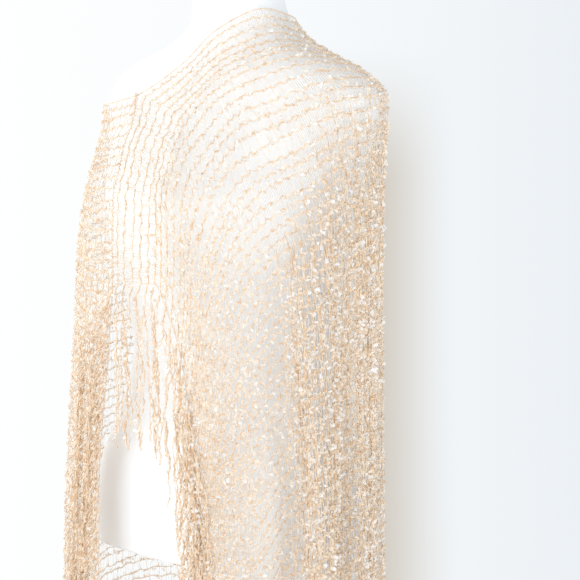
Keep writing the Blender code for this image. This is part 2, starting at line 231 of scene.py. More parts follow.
# A mix node's colours are its inputs 6 and 7 and its output 2
shaded = add_node(tree, "ShaderNodeMix", {0: shade, 6: tint, 7: linear(SHADOW)}, data_type="RGBA")
background = tree.nodes["Background"]
tree.links.new(shaded.outputs[2], background.inputs["Color"])
glow = mapped(tree, sideways, GLOW_SPAN, SURROUND_GLOW, 1.0)
above = mapped(tree, tall, OVERHEAD_SPAN, 1.0, OVERHEAD)
tree.links.new(product(tree, glow, above), background.inputs["Strength"])


def add_lamp(name, size, power, height, to_right, to_viewer, above):
    """A square soft lamp that looks at a height on the form from beside, before and above it."""
    middle = Vector((0.0, 0.0, height))
    lamp = bpy.data.objects.new(name, bpy.data.lights.new(name, "AREA"))
    lamp.data.size = size
    lamp.data.energy = power
    lamp.location = middle + rightward * to_right - forward * to_viewer + Vector((0.0, 0.0, above))
    lamp.rotation_euler = (middle - lamp.location).to_track_quat("-Z", "Y").to_euler()
    bpy.context.scene.collection.objects.link(lamp)


for lamp in LAMPS:
    add_lamp(*lamp)
bpy.context.scene.view_settings.view_transform = "Standard"


# Dress form: a hollow shell moulded in glass-fibre, without head, arms or legs, sprayed matt white.
# Its neck ends in a cap and its bottom is cut at a slant that rises to the front, edges softly rounded.
NECK_TOP = 1.450
LOFT_FOOT = 0.687
FORM_BOTTOM = 0.728
BOTTOM_RISE = 0.27
FORM_SIDES = 128
FORM_LEVELS = 118
FORM_EDGE = 0.004
MERGED = 0.0004
SHARP = math.radians(35)
SHADED_SHARP = math.radians(60)
# Height, then reach to the near side, the far side, the front and the back, and squareness
FORM = (
    ("height", "near", "far", "front", "back", "power"),
    (0.690, 0.144, 0.181, 0.102, 0.099, 2.2),
    (0.730, 0.147, 0.187, 0.107, 0.100, 2.2),
    (0.780, 0.150, 0.190, 0.112, 0.101, 2.2),
    (0.850, 0.143, 0.172, 0.116, 0.092, 2.2),
    (0.920, 0.128, 0.140, 0.106, 0.080, 2.1),
    (0.980, 0.120, 0.124, 0.102, 0.074, 2.1),
    (1.040, 0.125, 0.127, 0.116, 0.082, 2.1),
    (1.100, 0.138, 0.138, 0.138, 0.092, 2.1),
    (1.140, 0.146, 0.146, 0.138, 0.096, 2.1),
    (1.190, 0.158, 0.158, 0.112, 0.092, 2.1),
    (1.225, 0.171, 0.164, 0.088, 0.082, 2.2),
    (1.255, 0.174, 0.171, 0.074, 0.074, 2.3),
    (1.280, 0.158, 0.162, 0.064, 0.066, 2.2),
    (1.300, 0.116, 0.130, 0.056, 0.062, 2.1),
    (1.320, 0.080, 0.077, 0.050, 0.060, 2.0),
    (1.340, 0.060, 0.053, 0.045, 0.058, 2.0),
    (1.370, 0.049, 0.050, 0.043, 0.058, 2.0),
    (1.410, 0.049, 0.049, 0.042, 0.058, 2.0),
    (1.460, 0.049, 0.049, 0.042, 0.058, 2.0),
)


def read_table(table, at):
    """The other columns of a table, smoothly between its rows, at values of the first column."""
    rows = np.array(table[1:], float)
    places = rows[:, 0]
    at = np.clip(np.asarray(at, float), places[0], places[-1])
    step = np.diff(places)
    rise = np.diff(rows[:, 1:], axis=0) / step[:, None]
    slope = np.zeros_like(rows[:, 1:])
    slope[0], slope[-1] = rise[0], rise[-1]
    level = rise[:-1] * rise[1:] <= 0.0
    total = np.where(level, 1.0, rise[:-1] + rise[1:])
    slope[1:-1] = np.where(level, 0.0, 2.0 * rise[:-1] * rise[1:] / total)
    i = np.clip(np.searchsorted(places, at, side="right") - 1, 0, len(step) - 1)
    t = ((at - places[i]) / step[i])[..., None]
    width = step[i][..., None]
    start = (1 + 2 * t) * (1 - t) ** 2 * rows[i, 1:] + t * (1 - t) ** 2 * width * slope[i]
    return start + t * t * (3 - 2 * t) * rows[i + 1, 1:] - t * t * (1 - t) * width * slope[i + 1]


def section_radius(table, turn, height):
    """Radius of a level section through the form or the cloth."""
    near, far, front, back, power = np.moveaxis(read_table(table, height), -1, 0)
    across = np.abs(np.cos(turn)) / np.where(np.cos(turn) > 0, near, far)
    along = np.abs(np.sin(turn)) / np.where(np.sin(turn) > 0, back, front)
    return (across ** power + along ** power) ** (-1.0 / power)


def set_ring(ring, height):
    """Move a ring of vertices onto the form's outline at one height."""
    turns = np.array([math.atan2(v.co.y, v.co.x) for v in ring])
    for vertex, turn, radius in zip(ring, turns, section_radius(FORM, turns, np.full(len(turns), height))):
        vertex.co = (radius * math.cos(turn), radius * math.sin(turn), height)


def cut_off(tool, height, outward):
    """Slice with a plane through a point of the pole's axis, drop what is beyond it and close the cut."""
    everything = tool.verts[:] + tool.edges[:] + tool.faces[:]
    result = bmesh.ops.bisect_plane(tool, geom=everything, plane_co=(0.0, 0.0, height), plane_no=outward,
                                    clear_outer=True)
    rim = [item for item in result["geom_cut"] if isinstance(item, bmesh.types.BMEdge)]
    bmesh.ops.edgeloop_fill(tool, edges=rim)


def ease_rims(tool, reach, segments):
    """Round every sharp rim."""
    bmesh.ops.recalc_face_normals(tool, faces=tool.faces)
    rims = [edge for edge in tool.edges if len(edge.link_faces) == 2 and edge.calc_face_angle() > SHARP]
    bmesh.ops.bevel(tool, geom=rims, offset=reach, segments=segments, profile=0.5, affect="EDGES",
                    material=-1)


# Glass-fibre sprayed with matt white paint: even and chalky, with a slight orange-peel.
form_paint, tree, shader = new_material("matt white sprayed glass-fibre", 0.55)
place = coordinates(tree, "Object")
cloud = noise(tree, place, scale=9.0, detail=3.0)
add_colour(tree, shader, cloud, [(0.3, "EFF1F3"), (0.7, "F6F8FA")])
add_grain(tree, shader, noise(tree, place, scale=700.0, detail=1.0), strength=0.08, depth=0.0004)
tree.links.new(mapped(tree, cloud, (0.0, 1.0), low=0.48, high=0.62), shader.inputs["Roughness"])

tool = bmesh.new()
ring = bmesh.ops.create_circle(tool, segments=FORM_SIDES, radius=1.0)["verts"]
set_ring(ring, NECK_TOP)
rim = tool.edges[:]
for height in np.linspace(NECK_TOP, LOFT_FOOT, FORM_LEVELS)[1:]:
    drawn = bmesh.ops.extrude_edge_only(tool, edges=rim)["geom"]
    ring = [item for item in drawn if isinstance(item, bmesh.types.BMVert)]
    rim = [item for item in drawn if isinstance(item, bmesh.types.BMEdge) and item.is_boundary]
    set_ring(ring, height)
bmesh.ops.holes_fill(tool, edges=tool.edges[:])
cut_off(tool, FORM_BOTTOM, (0.0, -BOTTOM_RISE, -1.0))
bmesh.ops.dissolve_degenerate(tool, dist=MERGED, edges=tool.edges[:])
ease_rims(tool, FORM_EDGE, 3)
torso = from_bmesh("dress_form", tool, form_paint)
torso.data.set_sharp_from_angle(angle=SHADED_SHARP)
wear(torso, "form", "form_torso")


# Stand: a steel tube into the form's seat and a flat round steel base, both powder-coated white.
# Their solids are right, so finer rounds of the same sizes take their place.
POLE_RADIUS = 0.0125
POLE_SIDES = 64
POLE_EDGE = 0.0006
BASE_RADIUS = 0.165
BASE_SIDES = 192
BASE_THICKNESS = 0.010
BASE_EDGE = 0.003
FIT_GAP = 0.0003

# Powder-coated steel: satin white with a fine pebble from the baked powder.
steel_paint, tree, shader = new_material("satin white powder-coated steel", 0.34)
pebble = noise(tree, coordinates(tree, "Object"), scale=900.0, detail=2.0)
add_colour(tree, shader, pebble, [(0.3, "E7E7E7"), (0.7, "F0F0F0")])
add_grain(tree, shader, pebble, strength=0.12, depth=0.0003)


def round_bar(radius, bottom, top, sides):
    """A round bar or plate standing on end, as a bmesh."""
    tool = bmesh.new()
    made = bmesh.ops.create_cone(tool, cap_ends=True, segments=sides, radius1=radius, radius2=radius,
                                 depth=top - bottom)["verts"]
    bmesh.ops.translate(tool, verts=made, vec=(0.0, 0.0, (top + bottom) / 2.0))
    return tool


tool = round_bar(POLE_RADIUS, BASE_THICKNESS + FIT_GAP, FORM_BOTTOM + POLE_RADIUS, POLE_SIDES)
cut_off(tool, FORM_BOTTOM - FIT_GAP, (0.0, BOTTOM_RISE, 1.0))
ease_rims(tool, POLE_EDGE, 3)
wear(from_bmesh("stand_tube", tool, steel_paint), "stand", "stand_pole")
tool = round_bar(BASE_RADIUS, 0.0, BASE_THICKNESS, BASE_SIDES)
ease_rims(tool, BASE_EDGE, 4)
wear(from_bmesh("stand_plate", tool, steel_paint), "stand", "stand_base")


# Cloth: one rectangle of openwork, 0.71 m across its rows. The upper 0.21 m of one short end is sewn to
# the long edge beside the other, which closes it into a loop round the body. It is laid here as two
# stretches that meet down the near side. A net of threads this fine is a sheer veil with yarn on it.
CLOTH_WIDTH = 0.71
SEAM_LENGTH = 0.21
NECK_SHARE = 0.625
# How far the front's top edge is evened out along itself, for the rows further in, and how soon from
# each end; how far in the bows die out
SOFTENING = 0.30
SOFT_STEPS = 4
SOFT_ENDS = 0.25
TURN_FADE = 0.17
HEIGHT_FADE = 1.2
CORNER_REACH = 0.16
# The height over which a fold deepens, how fast creases sway in radians a metre, and how far the rows
# ride up over the chest
FOLD_RUN = 0.42
SWAY_RATE = 17.0
ROW_LIFT = 0.048
# Steps in degrees and in height for the cloth's own direction
NORMAL_TURN = 0.4
NORMAL_RISE = 0.002
# Height, then reach to the near side, the far side, the front and the back, and squareness
CLOTH = (
    ("height", "near", "far", "front", "back", "power"),
    (0.300, 0.172, 0.226, 0.150, 0.118, 2.0),
    (0.560, 0.172, 0.223, 0.150, 0.120, 2.0),
    (0.760, 0.173, 0.217, 0.149, 0.122, 2.0),
    (0.960, 0.173, 0.206, 0.148, 0.116, 2.0),
    (1.100, 0.175, 0.194, 0.149, 0.112, 2.0),
    (1.150, 0.176, 0.183, 0.147, 0.108, 2.0),
    (1.200, 0.178, 0.173, 0.120, 0.102, 2.1),
    (1.230, 0.181, 0.172, 0.096, 0.092, 2.2),
    (1.258, 0.181, 0.176, 0.081, 0.081, 2.3),
    (1.284, 0.156, 0.166, 0.070, 0.072, 2.2),
    (1.304, 0.1145, 0.133, 0.061, 0.067, 2.1),
    (1.324, 0.080, 0.084, 0.056, 0.066, 2.0),
    (1.344, 0.064, 0.060, 0.051, 0.064, 2.0),
    (1.374, 0.058, 0.056, 0.049, 0.064, 2.0),
    (1.460, 0.056, 0.055, 0.048, 0.064, 2.0),
)
# Where round the body in degrees, half-width, depth at the bottom, the height where it dies out, and
# how far it sways: the large folds, then the small creases between them
FOLDS = (
    (-34.0, 5.5, -0.020, 1.12, 0.0),
    (-22.0, 5.5, 0.010, 1.16, 0.0),
    (-11.0, 5.0, -0.012, 1.20, 0.0),
    (0.0, 5.5, 0.006, 1.18, 0.0),
    (11.0, 5.0, -0.011, 1.20, 0.0),
    (22.0, 5.5, 0.005, 1.14, 0.0),
    (36.0, 7.0, -0.008, 1.08, 0.0),
    (60.0, 8.0, 0.010, 1.05, 0.0),
    (84.0, 8.0, -0.009, 1.00, 0.0),
    (108.0, 8.0, 0.009, 1.05, 0.0),
    (134.0, 8.0, -0.009, 1.02, 0.0),
    (160.0, 8.0, 0.009, 1.06, 0.0),
    (184.0, 7.0, -0.010, 1.10, 0.0),
    (206.0, 6.0, 0.010, 1.12, 0.0),
    (-58.0, 7.0, 0.008, 0.96, 0.0),
    (-27.0, 2.2, 0.004, 1.20, 1.2),
    (-17.0, 2.0, -0.004, 1.22, 0.9),
    (-6.0, 2.4, 0.004, 1.22, 1.1),
    (5.0, 2.1, -0.003, 1.20, 1.3),
    (16.0, 2.2, 0.004, 1.18, 1.0),
    (28.0, 2.6, -0.003, 1.15, 1.2),
    (47.0, 3.4, 0.003, 1.08, 1.8),
    (72.0, 3.8, -0.003, 1.04, 1.5),
    (97.0, 3.2, 0.003, 1.02, 1.9),
    (121.0, 3.6, -0.003, 1.05, 1.6),
    (147.0, 3.4, 0.003, 1.03, 1.8),
    (172.0, 3.5, -0.003, 1.08, 1.5),
    (195.0, 3.0, 0.003, 1.10, 1.4),
    (-47.0, 3.4, -0.003, 1.02, 1.6),
)
# Neckline over the front and over the back: share of the way from near shoulder to knot, turn, height
FRONT_NECKLINE = (
    ("share", "turn", "height"),
    (0.00, 360.0, 1.346),
    (0.13, 338.0, 1.350),
    (0.40, 285.0, 1.328),
    (0.52, 266.0, 1.312),
    (0.77, 243.0, 1.284),
    (1.00, 223.0, 1.260),
)
BACK_NECKLINE = (
    ("share", "turn", "height"),
    (0.00, 0.0, 1.346),
    (0.15, 50.0, 1.338),
    (0.35, 96.0, 1.308),
    (0.60, 146.0, 1.270),
    (0.80, 180.0, 1.250),
    (0.92, 204.0, 1.252),
    (1.00, 223.0, 1.260),
)
# Seam from the knot down, and the two short ends below it
SEAM = (
    ("share", "turn", "height"),
    (0.00, 223.0, 1.260),
    (0.20, 232.0, 1.222),
    (0.48, 246.0, 1.168),
    (0.65, 248.0, 1.134),
    (1.00, 248.0, 1.066),
)
FRONT_END = (
    ("across", "turn", "height"),
    (0.00, 248.0, 1.066),
    (0.07, 272.0, 1.066),
    (0.10, 278.5, 1.036),
    (0.125, 283.5, 1.000),
    (0.19, 288.5, 0.915),
    (0.36, 292.0, 0.750),
    (0.71, 295.0, 0.470),
)
BACK_END = (
    ("across", "turn", "height"),
    (0.21, 248.0, 1.066),
    (0.30, 243.5, 0.980),
    (0.45, 236.5, 0.836),
    (0.56, 236.0, 0.730),
    (0.71, 238.0, 0.590),
)
# Line over the near shoulder and down the near side, by the width of cloth above it; and the hems
NEAR_LINE = (
    ("across", "height"),
    (0.00, 1.346),
    (0.03, 1.322),
    (0.08, 1.297),
    (0.12, 1.276),
    (0.15, 1.250),
    (0.71, 0.700),
)
FRONT_HEM = (
    ("share", "turn", "height"),
    (0.0, 360.0, 0.700),
    (0.5, 324.0, 0.600),
    (1.0, 295.0, 0.470),
)
BACK_HEM = (
    ("share", "turn", "height"),
    (0.0, 0.0, 0.700),
    (0.5, 116.0, 0.640),
    (1.0, 238.0, 0.590),
)


def smooth_step(value):
    """A soft rise from 0 to 1."""
    value = np.clip(value, 0.0, 1.0)
    return value * value * (3.0 - 2.0 * value)


def cloth_point(turn, height, out=0.0):
    """Points in the middle of the cloth, by turns in degrees and heights, or moved out from it."""
    depth = np.zeros_like(height)
    for centre, spread, deepest, starts, sway in FOLDS:
        middle = centre + sway * np.sin(SWAY_RATE * height + centre)
        away = (turn - middle + 180.0) % 360.0 - 180.0
        depth = depth + deepest * smooth_step((starts - height) / FOLD_RUN) * np.exp(-(away / spread) ** 2)
    turn = np.radians(turn)
    radius = section_radius(CLOTH, turn, height) + depth + out
    return np.stack((radius * np.cos(turn), radius * np.sin(turn), height), axis=-1)


def unit(vectors):
    """The same directions, all of length 1."""
    return vectors / np.linalg.norm(vectors, axis=-1, keepdims=True)


def cloth_normal(turn, height):
    """Directions straight out of the cloth."""
    round_it = cloth_point(turn + NORMAL_TURN, height) - cloth_point(turn - NORMAL_TURN, height)
    up_it = cloth_point(turn, height + NORMAL_RISE) - cloth_point(turn, height - NORMAL_RISE)
    return unit(np.cross(round_it, up_it))


def front_top(share):
    """The front's long top edge: along the neckline, then down the seam."""
    on_neck = read_table(FRONT_NECKLINE, share / NECK_SHARE)
    on_seam = read_table(SEAM, (share - NECK_SHARE) / (1.0 - NECK_SHARE))
    return np.where((share <= NECK_SHARE)[..., None], on_neck, on_seam)


def softened_top(share):
    """The same edge with its corner rounded off, for the rows that lie further in."""
    near = [front_top(np.clip(share + SOFTENING * k / SOFT_STEPS, 0.0, 1.0))
            for k in range(-SOFT_STEPS, SOFT_STEPS + 1)]
    ends = smooth_step(np.minimum(share, 1.0 - share) / SOFT_ENDS)[..., None]
    return front_top(share) * (1.0 - ends) + np.mean(near, axis=0) * ends


def bow(edge, share):
    """How far an edge bows away from the straight line between its ends."""
    first, last = edge(np.zeros(1)), edge(np.ones(1))
    part = share[..., None]
    return edge(share) - first * (1.0 - part) - last * part


def across_body(start_turn, end_place, share, across):
    """Straight across a stretch: from the near line to its short end."""
    start = np.stack((np.full_like(across, start_turn), read_table(NEAR_LINE, across)[..., 0]), axis=-1)
    return start * (1.0 - share[..., None]) + end_place * share[..., None]


def front_place(share, across):
    """Turns and heights on the front, from how far along a row and how far across the rows."""
    down = (across / CLOTH_WIDTH)[..., None]
    inward = smooth_step(across / CORNER_REACH)[..., None]
    straight = across_body(360.0, read_table(FRONT_END, across), share, across)
    top_bow = bow(front_top, share) * (1.0 - inward) + bow(softened_top, share) * inward
    fading = np.concatenate((np.exp(-across / TURN_FADE)[..., None],
                             (1.0 - down) * np.exp(-across / HEIGHT_FADE)[..., None]), axis=-1)
    placed = straight + top_bow * fading + bow(lambda s: read_table(FRONT_HEM, s), share) * down * down
    # At most 1, two thirds of the way along the row
    hump = share * share * (1.0 - share) * 27.0 / 4.0
    placed[..., 1] += ROW_LIFT * hump * np.sin(math.pi * across / CLOTH_WIDTH)
    return placed


def back_place(share, across):
    """Turns and heights on the back."""
    down = (across / CLOTH_WIDTH)[..., None]
    end = np.where((across <= SEAM_LENGTH)[..., None], read_table(SEAM, across / SEAM_LENGTH),
                   read_table(BACK_END, across))
    straight = across_body(0.0, end, share, across)
    return (straight + bow(lambda s: read_table(BACK_NECKLINE, s), share) * (1.0 - down)
            + bow(lambda s: read_table(BACK_HEM, s), share) * down)


def lay(place, share, across, out=0.0):
    """Points on a stretch of cloth, moved straight out of it by a thread's height."""
    share, across = np.broadcast_arrays(np.asarray(share, float), np.asarray(across, float))
    turn, height = np.moveaxis(place(share, across), -1, 0)
    return cloth_point(turn, height) + cloth_normal(turn, height) * np.asarray(out)[..., None]


# Each stretch: how its cloth is placed, how long its rows are on average, where it is gathered into
# folds (share of the row, half-width, how much more cloth lies there, and how far across the cloth it
# starts), its pleats (share, half-width, how many, and how far across they start), and its random seed.
FRONT = {"name": "front", "place": front_place, "row": 0.37, "seed": 11,
         "gathers": ((0.08, 0.18, 1.0, 0.08), (0.345, 0.05, 0.8, 0.30)),
         "pleats": ((0.345, 0.025, 20, 0.28), (0.22, 0.05, 14, 0.24), (0.06, 0.07, 36, 0.18))}
BACK = {"name": "back", "place": back_place, "row": 0.66, "seed": 23,
        "gathers": ((0.0, 0.14, 1.0, 0.08), (0.94, 0.10, 0.9, 0.10)),
        "pleats": ((0.03, 0.03, 14, 0.18), (0.95, 0.032, 13, 0.20))}

# Nylon hairs across the rows, so fine that they show only as a sheer veil. They are drawn coarser than
# they are.
HAIR_SPACING = 0.0019
HAIR_SPAN = (0.62, 0.92)
PATCH_SPAN = (0.35, 0.7)
THINNEST = 0.10
THICKEST = 0.36
# The spacing of a wave texture's bands at a scale of 1
WAVE_BAND = 0.314


def veil_material(stretch):
    """Hairs across the rows, one for each band of a wave texture, thicker in some patches."""
    material, tree, shader = new_material("sheer veil of nylon hairs, " + stretch["name"], 0.5)
    inputs = {0: coordinates(tree, "UV"), 1: (stretch["row"], CLOTH_WIDTH, 1.0)}
    metres = add_node(tree, "ShaderNodeVectorMath", inputs, operation="MULTIPLY").outputs["Vector"]
    drift = noise(tree, metres, scale=40.0, detail=2.0)
    inputs = {"Vector": metres, "Scale": WAVE_BAND / HAIR_SPACING, "Distortion": 3.0, "Detail": 2.0,
              "Detail Scale": 0.6}
    bands = add_node(tree, "ShaderNodeTexWave", inputs, bands_direction="X").outputs["Fac"]
    patch = mapped(tree, drift, PATCH_SPAN, THINNEST, THICKEST)
    cover = product(tree, mapped(tree, bands, HAIR_SPAN), patch)
    tree.links.new(cover, shader.inputs["Alpha"])
    add_colour(tree, shader, drift, [(0.3, "F4ECE0"), (0.7, "FCF8F1")])
    return material


def make_veil(stretch, columns, rows):
    """The sheer cloth itself: a flat grid laid over the stretch's form."""
    tool = bmesh.new()
    tool.loops.layers.uv.new("UVMap")
    bmesh.ops.create_grid(tool, x_segments=columns, y_segments=rows, size=0.5, calc_uvs=True)
    flat = np.array([vertex.co for vertex in tool.verts])
    spots = lay(stretch["place"], flat[:, 0] + 0.5, (0.5 - flat[:, 1]) * CLOTH_WIDTH)
    for vertex, spot in zip(tool.verts, spots):
        vertex.co = spot
    return from_bmesh(stretch["name"] + "_veil", tool, veil_material(stretch))


front_veil = make_veil(FRONT, columns=90, rows=100)
back_veil = make_veil(BACK, columns=150, rows=100)
wear(front_veil, "cloth", "front_stretch")
wear(back_veil, "cloth", "back_stretch")
cloth_pieces = {"front": [], "back": []}


# Rows: a soft ribbon yarn with a thin gold thread wound round it, one row every 12 mm. Each runs the
# whole length of the cloth and is pulled into small waves where the cross threads hold it.
ROW_PITCH = 0.012
FIRST_ROW = 0.0105
ROW_COUNT = 58
ROW_STRAY = 0.0010
YARN_RADIUS = 0.00047
YARN_STEP = 0.0038
OVER_VEIL = 0.0006
GOLD_HALF_WIDTH = 0.00034
GOLD_LIFT = 0.00125
GOLD_TWIST = 0.0105
GOLD_STEP = 0.0024
WAVE_HEIGHT = 0.0013
WAVE_LENGTH = 0.0125
WAVE_START = 0.02
# How much further round its yarn the gold starts on each next row
GOLD_SHIFT = 1.7
# The height of each slow wave and the length of its radian: what shifts the small waves along, in
# radians, and what is added to them
WAVE_DRIFT = ((1.6, 0.031), (1.1, 0.013))
WAVE_SLOW = ((0.8 * WAVE_HEIGHT, 0.019),)
row_lines = FIRST_ROW + ROW_PITCH * np.arange(ROW_COUNT)
row_lines += np.random.default_rng(5).normal(0.0, ROW_STRAY, ROW_COUNT)


def threads(name, paths, radius, material, flat=0.0):
    """Round threads or flat strips, each a spline of one curve, made one mesh."""
    curve = bpy.data.curves.new(name, "CURVE")
    curve.dimensions = "3D"
    curve.bevel_depth = radius
    curve.extrude = flat
    curve.bevel_resolution = 0
    curve.use_fill_caps = True
    for path in paths:
        spline = curve.splines.new("POLY")
        spline.points.add(len(path) - 1)
        spline.points.foreach_set("co", np.column_stack((path, np.ones(len(path)))).ravel())
    guide = bpy.data.objects.new(name, curve)
    bpy.context.scene.collection.objects.link(guide)
    mesh = bpy.data.meshes.new_from_object(guide.evaluated_get(bpy.context.evaluated_depsgraph_get()))
    bpy.data.objects.remove(guide)
    bpy.data.curves.remove(curve)
    mesh.name = name
    mesh.shade_smooth()
    return new_object(name, mesh, material)


def yarn_material(name, roughness, dark, light, metallic=0.0):
    """A spun yarn: light and dark fibres along it, mottled every few millimetres."""
    material, tree, shader = new_material(name, roughness)
    place = coordinates(tree, "Object")
    mottle = noise(tree, place, scale=160.0, detail=3.0)
    add_colour(tree, shader, mottle, [(0.32, dark), (0.68, light)])
    add_grain(tree, shader, noise(tree, place, scale=1800.0, detail=2.0), strength=0.4, depth=0.0002)
    shader.inputs["Metallic"].default_value = metallic
    return material


ribbon_yarn = yarn_material("viscose ribbon yarn, pale apricot", 0.55, "EAC9A4", "FBEEDD")
gold_thread = yarn_material("metallised gold thread", 0.32, "E4BC8E", "F9E7CE", metallic=0.2)


def ripples(along, waves, phases):
    """Waves added up: each has a height, the length of its radian, and where it starts."""
    return sum(height * np.sin(along / radian + phase) for (height, radian), phase in zip(waves, phases))


def row_waves(stretch, number, share):
    """How far a row strays across the cloth from its straight line, nothing at the near line."""
    random = np.random.default_rng(stretch["seed"] * 1000 + number)
    length = share * stretch["row"]
    phase = random.uniform(0.0, 2.0 * math.pi, 3)
    small = WAVE_HEIGHT * np.sin(2.0 * math.pi * length / WAVE_LENGTH + ripples(length, WAVE_DRIFT, phase))
    return (small + ripples(length, WAVE_SLOW, phase[2:])) * smooth_step(length / WAVE_START)


def row_paths(stretch, step, lift=0.0):
    """Each row's ribbon yarn as a path with a point every step, or with a lift the gold wound round it."""
    share = np.linspace(0.0, 1.0, int(stretch["row"] / step) + 1)
    made = []
    for k, line in enumerate(row_lines):
        twist = 2.0 * math.pi * share * stretch["row"] / GOLD_TWIST + GOLD_SHIFT * k
        across = np.clip(line + row_waves(stretch, k, share) + lift * np.cos(twist), 0.0, CLOTH_WIDTH)
        made.append(lay(stretch["place"], share, across, OVER_VEIL + lift * np.sin(twist)))
    return made


for stretch in (FRONT, BACK):
    name = stretch["name"] + "_row"
    rows = threads(name + "s", row_paths(stretch, YARN_STEP), YARN_RADIUS, ribbon_yarn)
    winding = threads(name + "_gold", row_paths(stretch, GOLD_STEP, GOLD_LIFT), 0.0, gold_thread,
                      GOLD_HALF_WIDTH)
    cloth_pieces[stretch["name"]] += [rows, winding]


# Cross threads: fine clear nylon and fine yarn by turns, tying each row to the next every 5 mm or so,
# closer where the cloth is gathered. They are straight between rows, and none lines up with the one
# above it.
CROSS_PITCH = 0.0050
CROSS_RADIUS = 0.0002
CROSS_LEAN = 0.0016
CROSS_LIFT = 0.0004
TIE_RADIUS = 0.00026
YARN_EVERY = 2
GATHER_RUN = 0.10
GATHER_POINTS = 241

# Clear nylon: it shows white against the light and faintly grey over the form.
nylon = yarn_material("clear nylon thread", 0.3, "E6E2DC", "FAF8F4")


def places_along(stretch, line, spacing, random):
    """Places along a row, evenly apart but closer where the cloth is gathered, each a little astray."""
    fine = np.linspace(0.0, 1.0, GATHER_POINTS)
    run = np.linalg.norm(np.diff(lay(stretch["place"], fine, line), axis=0), axis=1)
    middle = (fine[1:] + fine[:-1]) / 2.0
    for centre, spread, more, start in stretch["gathers"]:
        lies_there = more * smooth_step((line - start) / GATHER_RUN)
        run = run * (1.0 + lies_there * np.exp(-((middle - centre) / spread) ** 2))
    length = np.concatenate(((0.0,), np.cumsum(run)))
    count = int(length[-1] / spacing)
    return np.interp((np.arange(count) + random.uniform(0.05, 0.95, count)) * spacing, length, fine)


def cross_paths(stretch):
    """Every cross thread as its two ends, from each row, or the first edge, to the next."""
    random = np.random.default_rng(stretch["seed"])
    lines = np.concatenate(((0.0,), row_lines, (CLOTH_WIDTH,)))
    made = []
    for k in range(len(lines) - 1):
        share = places_along(stretch, lines[k], CROSS_PITCH, random)
        lean = np.clip(share + random.normal(0.0, CROSS_LEAN, len(share)) / stretch["row"], 0.0, 1.0)
        upper = lines[k] + (row_waves(stretch, k - 1, share) if k > 0 else 0.0)
        lower = lines[k + 1] + (row_waves(stretch, k, lean) if k < ROW_COUNT else 0.0)
        ends = [lay(stretch["place"], at, line, CROSS_LIFT) for at, line in ((share, upper), (lean, lower))]
        made += list(np.stack(ends, axis=1))
    return made


for stretch in (FRONT, BACK):
    paths = cross_paths(stretch)
    clear = [path for k, path in enumerate(paths) if k % YARN_EVERY]
    ties = threads(stretch["name"] + "_cross_threads", clear, CROSS_RADIUS, nylon)
    yarn_ties = threads(stretch["name"] + "_cross_yarns", paths[::YARN_EVERY], TIE_RADIUS, ribbon_yarn)
    cloth_pieces[stretch["name"]] += [ties, yarn_ties]


# Petals: small tabs of satin ribbon caught in the row yarn, each cut to a blunt leaf about 4 mm long
# and creased along the middle. They lie every way on the cloth and some catch the light; the bright
# white ones are partly painted glints.
PETAL_LENGTH = 0.0044
PETAL_WIDTH = 0.0028
# The width along a petal: at its root, then how fast it grows and how fast it falls off
PETAL_OUTLINE = (0.35, 1.5, 1.15)
PETAL_FULLNESS = 0.62
PETAL_CREASE = 0.0005
PETAL_CURL = 0.001
PETAL_ROLL = 0.55
PETAL_SPACING = 0.0034
PETAL_OUT = 0.0008
PETAL_REACH = 0.004
# How far a petal hangs below its row, and how much of that on average and as a spread
PETAL_HANG = 0.0024
HANG_SHARES = (0.3, 0.6)
TONE_SPREAD = 0.23
# Bright white tabs, which partly stand for painted glints, are drawn this much larger
WHITE_GLINT_SIZE = 1.4
TINT_STOPS = ((0.0, "E2B98D"), (0.2, "F0D4B2"), (0.5, "F9E6CE"), (0.8, "FEF8F0"), (1.0, "FFFFFF"))

# Satin ribbon: cream, apricot and gold tabs by an attribute, whose brightest white is partly a painted
# glint; thin enough to let some light through and smooth enough to glint.
satin, tree, shader = new_material("satin ribbon tabs, cream to pale gold", 0.3)
shader.inputs["Alpha"].default_value = 0.58
tone = add_node(tree, "ShaderNodeAttribute", attribute_name="tone").outputs["Fac"]
add_colour(tree, shader, tone, TINT_STOPS)
place = coordinates(tree, "Object")
add_grain(tree, shader, noise(tree, place, scale=1200.0, detail=1.0), strength=0.25, depth=0.0002)


def petal_template():
    """One tab: a small grid narrowed to a blunt tip, creased along its middle and curled."""
    tool = bmesh.new()
    bmesh.ops.create_grid(tool, x_segments=2, y_segments=2, size=0.5)
    root, rise, fall = PETAL_OUTLINE
    for vertex in tool.verts:
        x, y = 2.0 * vertex.co.x, vertex.co.y + 0.5
        width = PETAL_WIDTH * (root + rise * y - fall * y * y)
        vertex.co = (x * width * PETAL_FULLNESS, y * PETAL_LENGTH,
                     -PETAL_CREASE * abs(x) + PETAL_CURL * y * y)
    mesh = bpy.data.meshes.new("petal template")
    tool.to_mesh(mesh)
    tool.free()
    return mesh


petal = petal_template()


def scatter(name, template, origins, frames, tones, material):
    """Copies of a small mesh joined into one, each placed and turned, with its tone as an attribute."""
    points = np.array([vertex.co for vertex in template.vertices])
    faces = np.array([list(face.vertices) for face in template.polygons])
    placed = np.einsum("pij,nj->pni", frames, points) + origins[:, None, :]
    moved = faces[None] + (np.arange(len(origins)) * len(points))[:, None, None]
    mesh = bpy.data.meshes.new(name)
    mesh.from_pydata(placed.reshape(-1, 3), [], moved.reshape(-1, faces.shape[1]).tolist())
    mesh.attributes.new("tone", "FLOAT", "POINT").data.foreach_set("value", np.repeat(tones, len(points)))
    mesh.shade_smooth()
    return new_object(name, mesh, material)


